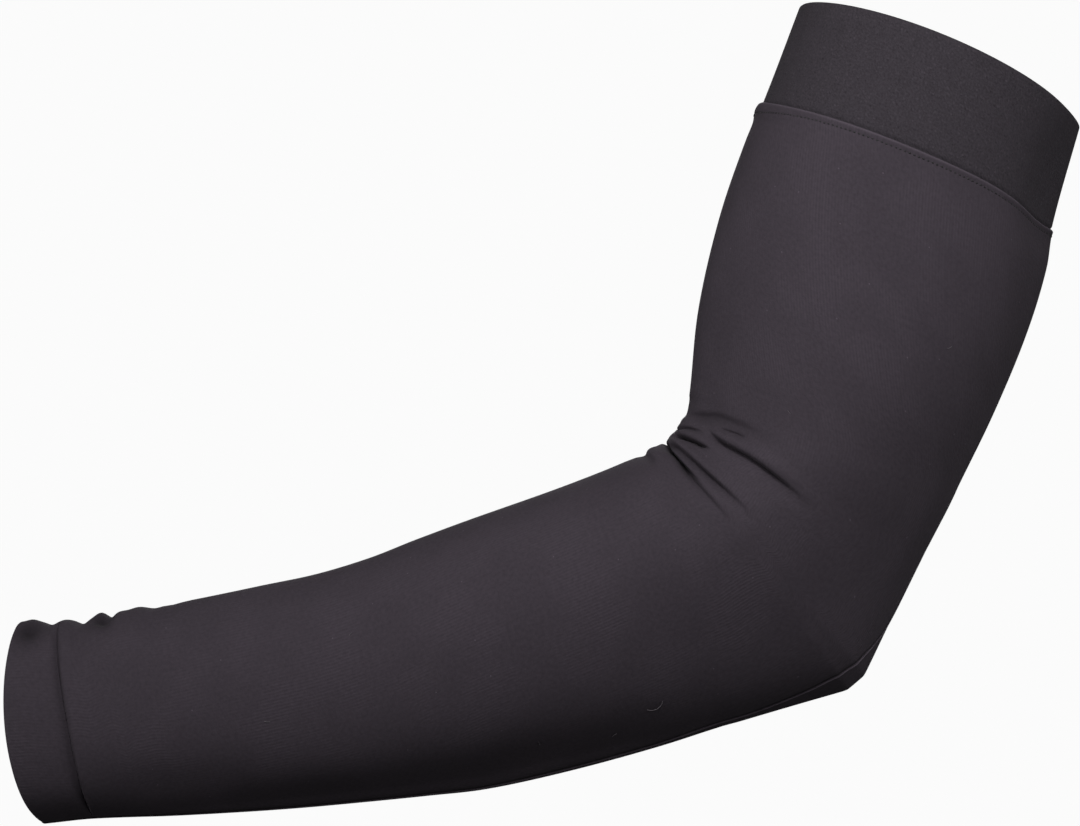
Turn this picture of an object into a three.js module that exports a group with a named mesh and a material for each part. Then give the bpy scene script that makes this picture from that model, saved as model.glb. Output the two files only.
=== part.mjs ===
// Arm warmer: a knitted sleeve bent at the elbow, with an elastic gripper band at the upper arm
// and a doubled cuff at the wrist. Millimetres, +Z up.
// The arm's centre line lies in the plane Y = 0. The origin is the centre of the upper opening.
// Places along the sleeve are measured down the centre line from the upper opening.
// Turns round the sleeve are in degrees: 0 at the crook side, 90 at the near side (-Y),
// 180 at the back of the elbow, 270 at the far side (+Y).

import * as THREE from "three";
import { ParametricGeometry } from "three/addons/geometries/ParametricGeometry.js";

// Cloth thicknesses and the clearance between two pieces
const KNIT_WALL = 1.2;
const ELASTIC_WALL = 1.6;
const CUFF_WALL = 2.2;
const CLEARANCE = 0.3;

// Where the pieces end along the centre line
const LIP_EDGE = 36.4;
const BAND_TUCK_END = 44;
const CUFF_GROOVE = 410;
const WRIST_RIM = 426;

// The sleeve's rolled lip, the pucker below its topstitching and the groove at the cuff
const LIP = { proud: 1.2, centre: 0.8, spread: 1.2 };
const PUCKER = { proud: 0.5, centre: 6, spread: 5 };
const GROOVE = { depth: 0.7, spread: 1.6 };

// The raised line of the back seam
const SEAM_RIDGE = 0.45;
const SEAM_HALF_TURN = 1.8;

// The centre line: the lean of the upper arm above level, then each leg's length and turn
const UPPER_ARM_LEAN = 71;
const CENTRE_LINE = [
  { leg: "upper arm", length: 133, turn: 0 },
  { leg: "elbow", length: 66, turn: 50.5 },
  { leg: "forearm", length: 240, turn: 15.3 },
];

// Girths of the sleeve: half widths to the crook side, to the back and to the near side,
// how far the crook edge of a girth runs ahead of its back edge, and its bow at the sides
const GIRTHS = [
  { at: 0, crook: 51.3, back: 51.5, side: 46, skew: -9, bow: -2.2 },
  { at: 36, crook: 52.7, back: 53.3, side: 48, skew: -8, bow: -0.7 },
  { at: 50, crook: 54.2, back: 56.2, side: 49, skew: -7, bow: -0.4 },
  { at: 75, crook: 53.9, back: 57.5, side: 49, skew: -4, bow: 0 },
  { at: 105, crook: 50.4, back: 55.6, side: 47, skew: -1, bow: 0 },
  { at: 133, crook: 43.8, back: 52.3, side: 43, skew: 0, bow: 0 },
  { at: 150, crook: 41.8, back: 51.6, side: 41, skew: 0, bow: 0 },
  { at: 199, crook: 41.8, back: 54.2, side: 41, skew: 0, bow: 0 },
  { at: 225, crook: 41, back: 53.1, side: 40.6, skew: 0, bow: 0 },
  { at: 260, crook: 39.7, back: 51.4, side: 39, skew: 0, bow: 0 },
  { at: 300, crook: 36.1, back: 47.2, side: 35.5, skew: 0, bow: 0 },
  { at: 340, crook: 34.8, back: 41.8, side: 32, skew: 1, bow: -0.3 },
  { at: 380, crook: 34.3, back: 37, side: 29, skew: 3, bow: -1.2 },
  { at: 410, crook: 33.8, back: 34.1, side: 27.5, skew: 5, bow: -2 },
  { at: 426, crook: 35.2, back: 34, side: 27.5, skew: 0.5, bow: 3.5 },
];

// The point of the elbow, added to the back half width
const ELBOW_POINT = { at: 175.5, height: 12, reach: 22, sharpness: 1.5, rounding: 2 };

// Where the back seam runs round the sleeve
const SEAM_LINE = [
  { at: 36, turn: 192 },
  { at: 133, turn: 186 },
  { at: 160, turn: 174 },
  { at: 170, turn: 164 },
  { at: 178, turn: 156 },
  { at: 186, turn: 164 },
  { at: 199, turn: 173 },
  { at: 300, turn: 170 },
  { at: 410, turn: 170 },
];

// Folds fanning out from the crook: the place of each valley, its drift along the arm from its
// first turn to its last, its depth and half width, and the height of the roll above it
const CROOK_FOLDS = [
  { at: 141, drift: -1, first: 8, last: 76, depth: 0.9, width: 4.5, roll: 0.2 },
  { at: 149, drift: -5, first: 8, last: 60, depth: 1, width: 2.6, roll: 0.4 },
  { at: 157, drift: -6, first: 8, last: 36, depth: 1.2, width: 2.4, roll: 0.4 },
  { at: 162.5, drift: -5, first: 6, last: 46, depth: 2.2, width: 2.6, roll: 0.8 },
  { at: 152, drift: 0, first: 38, last: 104, depth: 2.4, width: 3, roll: 0.8 },
  { at: 171, drift: -4.5, first: 12, last: 80, depth: 1.6, width: 2.4, roll: 0.6 },
  { at: 174.8, drift: -2.5, first: 0, last: 88, depth: 2.6, width: 2.6, roll: 0.4 },
  { at: 195, drift: 0, first: 0, last: 34, depth: 0.8, width: 4, roll: 1.2 },
];
const FAR_SIDE_SHIFT = 2;
const FAR_SIDE_SHARE = 0.85;

// Wrinkles across the crook edge near the wrist: place, height, half width and turn covered
const WRIST_WRINKLES = [
  { at: 381, height: -0.4, width: 2.4, cover: 34 },
  { at: 386.5, height: 1.3, width: 3.2, cover: 38 },
  { at: 394.5, height: -0.6, width: 2.2, cover: 34 },
  { at: 399, height: 0.7, width: 2.8, cover: 32 },
  { at: 405, height: -1.8, width: 2.2, cover: 34 },
  { at: 410, height: 0.8, width: 2.6, cover: 30 },
  { at: 416, height: -1.4, width: 2.2, cover: 30 },
  { at: 421.5, height: 0.8, width: 3, cover: 34 },
];

// How finely the walls are faceted: rows along the sleeve, then columns round it
const SLEEVE_ROWS = [
  { until: 40.4, step: 1 },
  { until: 49, step: 3 },
  { until: 133, step: 14 },
  { until: 147, step: 3.5 },
  { until: 183, step: 2.25 },
  { until: 199, step: 4 },
  { until: 379, step: 20 },
  { until: CUFF_GROOVE - CLEARANCE / 2, step: 2.8 },
];
const BAND_ROWS = [12, 24, 33.5, 35.2, 36.4, 38, 40, BAND_TUCK_END];
const CUFF_ROWS = [410.15, 411.2, 412.8, 415, 418, 421, 424];
const PLAIN_COLUMNS = 36;
const COLUMNS = PLAIN_COLUMNS + 2;

// Colours of the cloth
const KNIT_COLOUR = 0x423e44;
const ELASTIC_COLOUR = 0x353238;

const radians = THREE.MathUtils.degToRad;

// A smooth curve through one column of a table, held level past its ends
function readTable(table, column, at) {
  const last = table.length - 1;
  if (at <= table[0].at) return table[0][column];
  if (at >= table[last].at) return table[last][column];
  const next = table.findIndex((row) => row.at > at);
  const a = table[next - 1];
  const b = table[next];
  const slopeAt = (index) => {
    const before = table[Math.max(index - 1, 0)];
    const after = table[Math.min(index + 1, last)];
    return (after[column] - before[column]) / (after.at - before.at);
  };
  const span = b.at - a.at;
  const t = (at - a.at) / span;
  const leave = slopeAt(next - 1) * span;
  const arrive = slopeAt(next) * span;
  const ease = t * t * (3 - 2 * t);
  const bend = t * (1 - t) * (leave * (1 - t) - arrive * t);
  return a[column] + (b[column] - a[column]) * ease + bend;
}

// The bell shape used for lips, grooves and folds
function bell(distance, width) {
  return Math.exp(-((distance / width) ** 2));
}

// A point of the centre line and the direction it heads in, in the plane Y = 0
function centreLine(at) {
  const place = { x: 0, z: 0, heading: radians(180 + UPPER_ARM_LEAN) };
  let left = at;
  for (const [index, { length, turn }] of CENTRE_LINE.entries()) {
    const isLast = index === CENTRE_LINE.length - 1;
    const run = isLast ? left : Math.min(left, length);
    const bend = radians(turn) * (run / length);
    if (turn === 0) {
      place.x += run * Math.cos(place.heading);
      place.z += run * Math.sin(place.heading);
    } else {
      const radius = length / radians(turn);
      place.x += radius * (Math.sin(place.heading) - Math.sin(place.heading - bend));
      place.z += radius * (Math.cos(place.heading - bend) - Math.cos(place.heading));
    }
    place.heading -= bend;
    left -= run;
    if (left <= 0) break;
  }
  return place;
}

// How far the point of the elbow pushes the cloth out at the back
function elbowPush(at) {
  const off = Math.hypot(at - ELBOW_POINT.at, ELBOW_POINT.rounding);
  const share = Math.max(0, 1 - off / ELBOW_POINT.reach);
  return ELBOW_POINT.height * share ** ELBOW_POINT.sharpness;
}

// The smooth form of the arm, before lips and folds
function armPoint(at, turn) {
  const across = Math.cos(radians(turn));
  const aside = Math.sin(radians(turn));
  const skew = readTable(GIRTHS, "skew", at);
  const bow = readTable(GIRTHS, "bow", at);
  const spot = centreLine(at + (skew / 2) * across + bow * aside * aside);
  const crook = readTable(GIRTHS, "crook", at);
  const back = readTable(GIRTHS, "back", at) + elbowPush(at);
  const reach = (across > 0 ? crook : back) * across;
  const toCrook = spot.heading - Math.PI / 2;
  return new THREE.Vector3(
    spot.x + reach * Math.cos(toCrook),
    -readTable(GIRTHS, "side", at) * aside,
    spot.z + reach * Math.sin(toCrook),
  );
}

// The direction straight out of the smooth form
function outOfArm(at, turn) {
  const along = armPoint(at + 0.2, turn).sub(armPoint(at - 0.2, turn));
  const round = armPoint(at, turn + 0.2).sub(armPoint(at, turn - 0.2));
  return along.cross(round).normalize();
}

// One crook fold: a valley with a roll of cloth standing above it, fading out at both ends
function crookFold(fold, at, turn, shift) {
  const share = (turn - fold.first) / (fold.last - fold.first);
  if (share >= 1) return 0;
  const fadeIn = fold.first === 0 ? 1 : THREE.MathUtils.smoothstep(share, -0.25, 0.2);
  const fadeOut = 1 - THREE.MathUtils.smoothstep(share, 0.6, 1);
  const off = at - fold.at - shift - fold.drift * Math.max(share, 0);
  const valley = -fold.depth * bell(off, fold.width);
  const roll = fold.roll * bell(off + 2 * fold.width, 1.3 * fold.width);
  return fadeIn * fadeOut * (valley + roll);
}

// All folds and wrinkles at one spot of the cloth
function foldLift(at, turn) {
  const round = THREE.MathUtils.euclideanModulo(turn, 360);
  const isFar = round > 180;
  const fromCrook = isFar ? 360 - round : round;
  const farBlend = isFar ? THREE.MathUtils.smoothstep(fromCrook, 15, 60) : 0;
  const share = THREE.MathUtils.lerp(1, FAR_SIDE_SHARE, farBlend);
  let lift = 0;
  for (const fold of CROOK_FOLDS) {
    lift += share * crookFold(fold, at, fromCrook, FAR_SIDE_SHIFT * farBlend);
  }
  for (const { at: place, height, width, cover } of WRIST_WRINKLES) {
    lift += height * bell(at - place, width) * bell(fromCrook, cover);
  }
  return lift;
}

// The sleeve's outer face above the smooth form: lip, pucker and cuff groove
function sleeveLift(at) {
  const fromLip = at - LIP_EDGE;
  const lip = LIP.proud * bell(fromLip - LIP.centre, LIP.spread);
  const pucker = PUCKER.proud * bell(fromLip - PUCKER.centre, PUCKER.spread);
  return lip + pucker - GROOVE.depth * bell(at - CUFF_GROOVE, GROOVE.spread);
}

// The band's outer face: level above the lip, then tucked in under the sleeve
function bandLift(at) {
  const underSleeve = sleeveLift(Math.max(at, LIP_EDGE)) - KNIT_WALL - CLEARANCE;
  const tuck = THREE.MathUtils.smoothstep(at, LIP_EDGE - 2.5, LIP_EDGE);
  return tuck * Math.min(0, underSleeve);
}

// The turn of one column of facets, counted from the back seam
function columnTurn(column, at) {
  const seam = readTable(SEAM_LINE, "turn", at);
  if (column === 0) return seam;
  if (column === 1) return seam + SEAM_HALF_TURN;
  if (column === COLUMNS - 1) return seam - SEAM_HALF_TURN;
  return seam + ((column - 1) * 360) / PLAIN_COLUMNS;
}

// A closed wall of cloth: the outline of the cut wall carried round the sleeve
function clothWall(outline) {
  const corners = outline.length;
  const wallPoint = (u, v, target) => {
    const column = Math.round((1 - u) * COLUMNS) % COLUMNS;
    const { at, lift, seam } = outline[Math.round(v * corners) % corners];
    const turn = columnTurn(column, at);
    const ridge = column === 0 ? seam ?? 0 : 0;
    const out = outOfArm(at, turn).multiplyScalar(lift + ridge + foldLift(at, turn));
    target.copy(armPoint(at, turn).add(out));
  };
  const geometry = new ParametricGeometry(wallPoint, COLUMNS, corners);
  geometry.computeVertexNormals();
  return geometry;
}

// The sleeve's wall
function sleeveOutline() {
  const rows = [LIP_EDGE];
  for (const { until, step } of SLEEVE_ROWS) {
    const start = rows[rows.length - 1];
    const count = Math.max(1, Math.round((until - start) / step));
    for (let index = 1; index <= count; index += 1) {
      rows.push(start + ((until - start) * index) / count);
    }
  }
  const outer = rows.map((at) => ({ at, lift: sleeveLift(at), seam: SEAM_RIDGE }));
  const inner = rows.map((at) => ({ at, lift: sleeveLift(at) - KNIT_WALL }));
  return [...outer, ...inner.reverse()];
}

// The gripper band's wall, with its rounded top edge
function bandOutline() {
  const half = ELASTIC_WALL / 2;
  const topEdge = [
    { at: half, lift: -ELASTIC_WALL },
    { at: 0.2, lift: -1.5 * half },
    { at: 0, lift: -half },
    { at: 0.2, lift: -0.5 * half },
    { at: half, lift: 0 },
  ];
  const outer = BAND_ROWS.map((at) => ({ at, lift: bandLift(at) }));
  const inner = BAND_ROWS.map((at) => ({ at, lift: bandLift(at) - ELASTIC_WALL }));
  return [...topEdge, ...outer, ...inner.reverse()];
}

// The wrist cuff's wall, with the rounded fold at its rim
function cuffOutline() {
  const half = CUFF_WALL / 2;
  const rimFold = [
    { at: WRIST_RIM - 0.8, lift: -0.1 * half },
    { at: WRIST_RIM - 0.2, lift: -0.5 * half },
    { at: WRIST_RIM, lift: -half },
    { at: WRIST_RIM - 0.2, lift: -1.5 * half },
    { at: WRIST_RIM - 0.8, lift: -1.9 * half },
  ];
  const outer = CUFF_ROWS.map((at) => ({ at, lift: sleeveLift(at) }));
  const inner = CUFF_ROWS.map((at) => ({ at, lift: -CUFF_WALL }));
  return [...outer, ...rimFold, ...inner.reverse()];
}

// One named piece of cloth
function clothPiece(name, outline, color, roughness) {
  const material = new THREE.MeshStandardMaterial({ color, roughness, metalness: 0 });
  material.name = name;
  const mesh = new THREE.Mesh(clothWall(outline), material);
  mesh.name = name;
  return mesh;
}

const armWarmer = new THREE.Group();
armWarmer.name = "arm_warmer";
armWarmer.add(clothPiece("sleeve", sleeveOutline(), KNIT_COLOUR, 0.9));
armWarmer.add(clothPiece("gripper_band", bandOutline(), ELASTIC_COLOUR, 0.85));
armWarmer.add(clothPiece("wrist_cuff", cuffOutline(), KNIT_COLOUR, 0.9));

export default armWarmer;
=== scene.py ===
import math
from collections import namedtuple
from functools import partial

import bmesh
import bpy
import numpy as np
from bpy.props import FloatProperty, FloatVectorProperty, IntProperty, PointerProperty
from mathutils import Matrix, Vector


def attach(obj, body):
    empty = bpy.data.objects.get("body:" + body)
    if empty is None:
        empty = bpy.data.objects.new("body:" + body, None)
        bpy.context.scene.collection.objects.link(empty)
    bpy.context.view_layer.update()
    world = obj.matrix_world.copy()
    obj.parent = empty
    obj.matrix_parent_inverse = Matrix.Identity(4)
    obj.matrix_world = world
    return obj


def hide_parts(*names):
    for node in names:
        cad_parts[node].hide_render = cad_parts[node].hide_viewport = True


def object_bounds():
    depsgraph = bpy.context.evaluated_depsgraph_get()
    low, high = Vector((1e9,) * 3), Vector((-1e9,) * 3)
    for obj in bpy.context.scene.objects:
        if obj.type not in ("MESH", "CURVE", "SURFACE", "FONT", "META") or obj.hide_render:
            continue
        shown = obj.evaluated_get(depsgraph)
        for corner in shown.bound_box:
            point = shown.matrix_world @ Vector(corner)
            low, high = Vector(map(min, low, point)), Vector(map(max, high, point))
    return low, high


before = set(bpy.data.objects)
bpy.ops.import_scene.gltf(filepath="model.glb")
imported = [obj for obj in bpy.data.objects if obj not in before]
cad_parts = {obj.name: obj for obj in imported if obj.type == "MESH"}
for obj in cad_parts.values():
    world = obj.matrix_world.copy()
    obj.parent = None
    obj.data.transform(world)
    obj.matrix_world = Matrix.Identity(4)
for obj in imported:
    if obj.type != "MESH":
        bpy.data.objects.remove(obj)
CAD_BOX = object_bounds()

bl_info = {
    "name": "Arm Warmer",
    "version": (1, 0, 0),
    "blender": (4, 5, 0),
    "location": "View3D > Sidebar > Arm Warmer",
    "description": "Makes a knitted arm warmer bent at the elbow, with its gripper band, cuff and stitching",
    "category": "Add Mesh",
}

# The form is worked out in millimetres. Places along the sleeve (at) are measured down its centre
# line from the upper opening, and turns round it are in degrees: 0 at the crook side, 90 at the
# near side, 180 at the back of the elbow and 270 at the far side.
MM = 0.001
LIP_EDGE = 36.4
BAND_TUCK_END = 44.0
CUFF_GROOVE = 410.0
WRIST_RIM = 426.0
CLEARANCE = 0.3
# How far the knit's rows of loops drift round the upper arm for each millimetre down it
WALE_DRIFT = 0.3

# The centre line: the lean of the upper arm above level, then each leg's length and turn
UPPER_ARM_LEAN = 71.0
Leg = namedtuple("Leg", "length turn")
CENTRE_LINE = (
    Leg(133, 0),
    Leg(66, 50.5),
    Leg(240, 15.3),
)

# Half widths of the sleeve to the crook side, to the back and to the near side, how far the crook
# edge of a girth runs ahead of its back edge, and its bow at the sides
Girth = namedtuple("Girth", "at crook back side skew bow")
GIRTHS = (
    Girth(0, 51.3, 51.5, 46, -9, -2.2),
    Girth(36, 52.5, 53.8, 48, -8, -0.7),
    Girth(50, 53.9, 56.5, 49, -7, -0.4),
    Girth(75, 53.8, 57.3, 49, -4, 0),
    Girth(105, 50.4, 55.5, 47, -1, 0),
    Girth(133, 43.8, 52.2, 43, 0, 0),
    Girth(142, 42.6, 51.2, 42, 0, 0),
    Girth(150, 41.8, 51.3, 41, 0, 0),
    Girth(175, 41.8, 51.8, 41, 0, 0),
    Girth(199, 41.8, 53.9, 41, 0, 0),
    Girth(210, 41.3, 53.7, 40.8, 0, 0),
    Girth(225, 40.8, 53.3, 40.6, 0, 0),
    Girth(260, 39.7, 51.6, 39, 0, 0),
    Girth(283, 38, 49.9, 37.2, 0, 0),
    Girth(300, 36, 47.3, 35.5, 0, 0),
    Girth(320, 34.8, 44.5, 33.6, 0.5, -0.1),
    Girth(340, 34.9, 42, 32, 1, -0.3),
    Girth(380, 34.2, 37.2, 29, 3, -1.2),
    Girth(410, 33.8, 33.8, 27.5, 3.8, -0.9),
    Girth(426, 35.2, 33.5, 27.5, 1.4, 3.7),
)

# The point of the elbow, added to the back half width
ElbowPoint = namedtuple("ElbowPoint", "at height reach sharpness rounding flat")
ELBOW_POINT = ElbowPoint(175.5, 11.3, 27.4, 1.95, 0.5, 1.7)

# Soft bulges and flats of the stretched sleeve, alike on the near and the far side
Bulge = namedtuple("Bulge", "at turn height width spread")
FORM_BULGES = (
    Bulge(25, 149, -3.2, 23, 20),  # flat at the back of the band
    Bulge(60, 85, -1.6, 30, 30),  # flat at the side below the lip
    Bulge(94, 123, 2.2, 50, 32),  # fuller back of the upper sleeve
    Bulge(74, 152, -1.6, 42, 20),  # flat beside it, at the back edge
    Bulge(122, 40, -2.0, 40, 28),  # flat above the crook
    Bulge(137, 95, 3.2, 36, 30),  # fuller side above the elbow
    Bulge(170, 81, 2.6, 26, 28),  # fuller side at the elbow
    Bulge(198, 115, -3.0, 36, 30),  # hollow before the elbow's point
    Bulge(193, 42, 1.3, 34, 30),  # cloth pushed up below the crook
    Bulge(256, 151, -3.5, 52, 23),  # flat along the forearm's lower edge
    Bulge(322, 68, -2.4, 62, 58),  # flat side of the forearm
    Bulge(345, 153, -2.3, 60, 20),  # flat under the thin end of the forearm
    Bulge(402, 88, -0.9, 36, 32),  # flat side of the wrist
    Bulge(380, 130, -1.4, 26, 17),  # hollow before the cuff
    Bulge(421, 130, 0.8, 20, 20),  # fuller underside of the cuff
)
# The turns from the crook between which the bulges come in and go out, clear of the outline
BULGES_COME_IN = (0, 30)
BULGES_GO_OUT = (158, 180)

# Where the back seam runs round the sleeve
SeamSpot = namedtuple("SeamSpot", "at turn")
SEAM_LINE = (
    SeamSpot(36, 192),
    SeamSpot(100, 189),
    SeamSpot(133, 184),
    SeamSpot(155, 175),
    SeamSpot(164.5, 167),
    SeamSpot(168.3, 160.7),
    SeamSpot(173.4, 153.6),
    SeamSpot(178, 152.3),
    SeamSpot(183.6, 156.7),
    SeamSpot(189.6, 160.8),
    SeamSpot(196, 164),
    SeamSpot(207, 165.5),
    SeamSpot(230, 169),
    SeamSpot(300, 171),
    SeamSpot(410, 171),
)

# Creases fanning out from the crook: the turns and places that each runs through, the depth and
# half width of its valley, the height of the roll of cloth above it and how far that roll leans
# over the valley
Crease = namedtuple("Crease", "path depth width roll lean")
CROOK_CREASES = (
    Crease(((5, 149), (12, 148.2), (24, 145), (36, 141.8), (74, 140.8)), 1.1, 4.0, 0.2, 0),
    Crease(((0, 159), (12, 156), (26, 153)), 0, 2.6, 0.6, 0),
    Crease(((0, 162), (9.5, 158.4), (18, 155.8), (34, 152.6)), 1.1, 1.3, 0.3, 0.5),
    Crease(((37, 147.5), (45, 146), (60, 144.4)), 0.9, 0.9, 0.3, 0.4),
    Crease(((6, 166.8), (14.5, 164.2), (28, 161.2), (45, 159)), 3.6, 1.6, 0.9, 2.0),
    Crease(((31, 151.4), (45, 152.3), (66, 151.6), (82, 152.7), (100, 155.2)), 2.4, 1.7, 1.6, 1.3),
    Crease(((4, 173), (28, 170.8), (52, 169.8), (70, 169.1), (88, 169.4)), 1.9, 1.5, 0.8, 0.8),
    Crease(((0, 172.8), (12, 174.4), (24, 176.4)), 1.7, 1.7, -0.9, 0),
    Crease(
        ((-8, 171.6), (8, 174.2), (16, 175.7), (28, 175.9), (44, 175.6), (60, 175.4)), 4.6, 1.8, 0.7, 2.4
    ),
    Crease(((30, 177.5), (44, 177.3), (60, 176.7), (82, 175.8)), 1.0, 1.5, 0.6, 0.6),
    Crease(((0, 193), (17, 191.5), (34, 190)), 0.8, 3.2, 0.7, 0),
)
# A valley is steep under its roll and opens slowly away from it. Painted shade darkens each valley, the
# deepest the most.
STEEP_SHARE = 0.6
OPEN_SHARE = 1.7
DEEPEST_CREASE = 4.6
DEEPEST_CREASE_SHADE = 1.2
# The shares of a crease's path by which it has faded in and from which it fades out
FADED_IN = 0.25
FADES_OUT = 0.6
# Where the roll's crest and its lean lie above the valley, in half widths of the valley, and how
# wide they are
ROLL_OFF = 1.9
ROLL_WIDTH = 1.4
LEAN_OFF = 0.9
LEAN_WIDTH = 1.1
# On the far side the folds lie a little lower and are a little shallower, fully so from the second
# of these turns
FAR_SHIFT = 2.0
FAR_SHARE = 0.85
FAR_TURNS = (15, 60)

# Wrinkles across the crook edge near the wrist: place, height, half width and turn covered
Wrinkle = namedtuple("Wrinkle", "at height width cover")
WRIST_WRINKLES = (
    Wrinkle(370.9, -0.4, 3.4, 34),
    Wrinkle(376.9, -0.5, 2.6, 34),
    Wrinkle(382.9, 0.9, 3.4, 38),
    Wrinkle(388.5, 0.25, 3.6, 110),
    Wrinkle(389.4, 0.3, 2.6, 34),
    Wrinkle(392.4, -1.3, 1.9, 30),
    Wrinkle(395.9, 1.3, 2.2, 28),
    Wrinkle(402.4, -1.8, 2.6, 34),
    Wrinkle(408.6, 0.4, 2.4, 30),
    Wrinkle(413.6, -1, 2.4, 30),
    Wrinkle(420.9, 0.9, 2.8, 34),
)

# Dents pressed into the cloth beside the wrist wrinkles, on the near side only
Dent = namedtuple("Dent", "at turn depth width spread")
WRIST_DENTS = (
    Dent(395.2, 13, 2.4, 2.4, 9),
    Dent(420.2, 19, 2.4, 3.4, 11),
)
# How dark the painted shade in a dent is, and how much wider than the dent it spreads
DENT_SHADE = 0.65
DENT_SHADE_SIZE = 1.4

# The sleeve's lip: its raised edge, the swelling at the crook side, the line that the topstitching
# draws in, and the long slope with which the sleeve comes down from lying over the band
Ring = namedtuple("Ring", "lift centre spread")
LIP_RING = Ring(0.3, 0.2, 1.8)
LIP_SWELLING = Ring(1.1, 2.6, 2.6)
STITCH_RING = Ring(-0.1, 2.0, 0.6)
LIP_SLOPE = Ring(0.45, 0, 9)
SWELLING_COVER = 34
# Beside the swelling the topstitching runs lower
STITCH_DROP = 2.0
# The lip runs a little high at the crook side and sags towards the back
Sag = namedtuple("Sag", "turn drop spread")
LIP_SAGS = (
    Sag(0, -1.0, 18),
    Sag(148, 1.1, 24),
)
LIP_SAG_REACH = 16
# The band dips under the lip between these distances below the lip's edge, and lies under the form
# that the lip has at this depth or below it
BAND_DIP = (-1.4, 0.1)
LIP_FORM_FROM = 0.4

# The groove before the cuff: the doubled cuff rolls down into it and the sleeve ends steeply. It
# opens and closes between these turns from the crook.
CUFF_GAP = 0.06
GROOVE_DEPTH = 1.0
GROOVE_SLEEVE_SIDE = 0.7
GROOVE_CUFF_SIDE = 2.1
GROOVE_OPENS = (5, 40)
GROOVE_CLOSES = (135, 170)

# Where painted highlight lightens the cloth and painted shade darkens it: the share, the place
# below an edge and the spread
Tint = namedtuple("Tint", "share off spread")
LIP_HIGHLIGHT = Tint(0.3, 0.3, 0.4)
GROOVE_SHADE = Tint(0.35, 0.5, 1.3)

# How finely the sleeve is divided along its length: the end of each stretch and its row spacing
Stretch = namedtuple("Stretch", "until step")
SLEEVE_STRETCHES = (
    Stretch(42, 0.3),
    Stretch(48, 0.8),
    Stretch(133, 2.8),
    Stretch(144, 0.8),
    Stretch(182, 0.5),
    Stretch(200, 0.9),
    Stretch(374, 3.4),
    Stretch(CUFF_GROOVE - CUFF_GAP / 2, 0.8),
)
INNER_ROW_STEP = 5

# The rows of the band, from the lip's edge, and of the cuff, from its start: where the first spacing
# ends, where the second starts and how many rows each has
RowChange = namedtuple("RowChange", "last first count_before count_after")
BAND_ROWS = RowChange(-3.0, -2.5, 30, 20)
CUFF_ROWS = RowChange(5.0, 5.8, 14, 13)
# Between the cuff's two layers, and from the end of that gap to the fold
CUFF_LAYER_GAP = 0.2
CUFF_FOLD = 0.4
# The angles at which the rounded edge of a wall has its points
EDGE_ANGLES = (-72, -36, 0, 36, 72)

# Columns close to the back seam, in millimetres round the sleeve from the seam, as they are at this
# radius
SEAM_COLUMNS = (0.3, 0.6, 0.95, 1.4, 2.0, 3.0)
SEAM_COLUMNS_RADIUS = 48

# The raised back seam with a painted highlight on its crest and a hollow with painted shade beside it, in
# millimetres
SEAM_RIDGE = 0.3
SEAM_RIDGE_HALF = 0.4
SEAM_HIGHLIGHT_HALF = 0.32
SEAM_HOLLOW = 0.15
SEAM_HOLLOW_OFF = 0.95
SEAM_HOLLOW_HALF = 0.5
SEAM_HOLLOW_SHADE = 0.8

# Lint on the knit: place, turn, length, heading along the cloth and bend
Fibre = namedtuple("Fibre", "at turn length heading bend")
LINT_FIBRES = (
    Fibre(219.4, 134.6, 7.4, 80, -130),
    Fibre(236.5, 148, 2.2, 20, 40),
    Fibre(260.8, 138.5, 2.0, 75, 30),
    Fibre(128, 72, 1.6, 30, 50),
    Fibre(92, 118, 1.8, 100, 60),
    Fibre(310, 64, 1.5, 10, 40),
    Fibre(345, 101, 1.9, 140, 50),
    Fibre(288, 250, 2.4, 40, 70),
    Fibre(110, 282, 2.2, 80, 60),
)


def linear(hex_colour):
    """An sRGB hex colour as linear red, green and blue."""
    channels = [int(hex_colour[i : i + 2], 16) / 255 for i in (1, 3, 5)]
    return tuple(c / 12.92 if c <= 0.04045 else ((c + 0.055) / 1.055) ** 2.4 for c in channels)


# The smooth form of the sleeve


def read_table(table, column, at):
    """A smooth curve through one column of a table, held level past its ends."""
    return curve_through([row.at for row in table], [getattr(row, column) for row in table], at)


def curve_through(places, values, at):
    """A smooth curve through values at the given places, held level past its ends."""
    places = np.array(places, float)
    values = np.array(values, float)
    slopes = np.gradient(values, places)
    slopes[1:-1] = (values[2:] - values[:-2]) / (places[2:] - places[:-2])
    at = np.clip(at, places[0], places[-1])
    index = np.clip(np.searchsorted(places, at, side="right") - 1, 0, len(places) - 2)
    span = places[index + 1] - places[index]
    t = (at - places[index]) / span
    ease = t * t * (3 - 2 * t)
    bend = t * (1 - t) * span * (slopes[index] * (1 - t) - slopes[index + 1] * t)
    return values[index] + (values[index + 1] - values[index]) * ease + bend


def bell(distance, width):
    """The bell shape of lips, grooves and folds."""
    return np.exp(-((distance / width) ** 2))


def smooth_step(value, low, high):
    """0 below low, 1 above high and a smooth rise between."""
    t = np.clip((value - low) / (high - low), 0, 1)
    return t * t * (3 - 2 * t)


def centre_line(at):
    """Points of the sleeve's centre line, in the plane Y = 0, and the direction it heads in."""
    x = np.zeros_like(at)
    z = np.zeros_like(at)
    heading = np.full_like(at, math.radians(180 + UPPER_ARM_LEAN))
    left = at
    for leg in CENTRE_LINE:
        run = left if leg is CENTRE_LINE[-1] else np.minimum(left, leg.length)
        if leg.turn == 0:
            x = x + run * np.cos(heading)
            z = z + run * np.sin(heading)
        else:
            radius = leg.length / math.radians(leg.turn)
            after = heading - run / radius
            x = x + radius * (np.sin(heading) - np.sin(after))
            z = z + radius * (np.cos(after) - np.cos(heading))
            heading = after
        left = left - run
    return x, z, heading


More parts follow.
